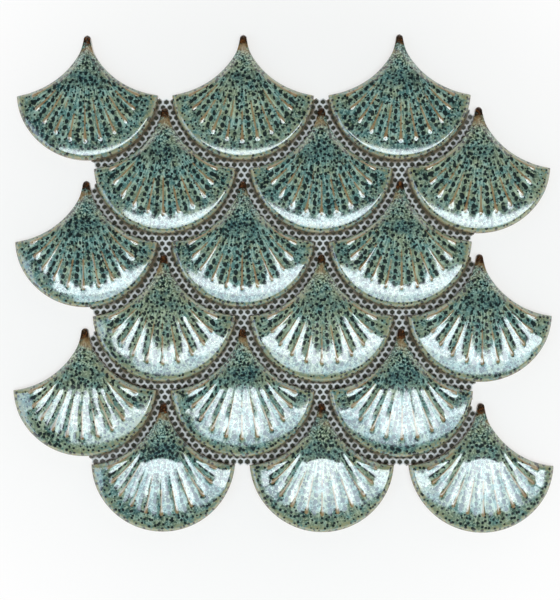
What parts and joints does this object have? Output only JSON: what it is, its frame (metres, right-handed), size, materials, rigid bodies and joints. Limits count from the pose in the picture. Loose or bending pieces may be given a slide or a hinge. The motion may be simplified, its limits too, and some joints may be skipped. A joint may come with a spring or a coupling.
{
  "type": "fish scale mosaic tile sheet",
  "caption": "Mosaic sheet of staggered fan-relief fish scale tiles in speckled teal glaze, glued to a backing net, for bedding in tile adhesive.",
  "frame": {"origin": "middle of the sheet on the back of the net", "axes": "+Z out of the glazed face, +Y the way the scales' apexes point, +X across the rows"},
  "size_m": [0.2728, 0.2531, 0.0075],
  "materials": {
    "glaze": "glossy reactive glaze, speckled teal and grey-green",
    "net": "matt white thread"
  },
  "bodies": {
    "root": {"scale_row1_1": "glaze", "scale_row1_2": "glaze", "scale_row1_3": "glaze", "scale_row2_1": "glaze", "scale_row2_2": "glaze", "scale_row2_3": "glaze", "scale_row3_1": "glaze", "scale_row3_2": "glaze", "scale_row3_3": "glaze", "scale_row4_1": "glaze", "scale_row4_2": "glaze", "scale_row4_3": "glaze", "scale_row5_1": "glaze", "scale_row5_2": "glaze", "scale_row5_3": "glaze", "scale_row6_1": "glaze", "scale_row6_2": "glaze", "scale_row6_3": "glaze", "backing_net": "net"}
  },
  "joints": []
}
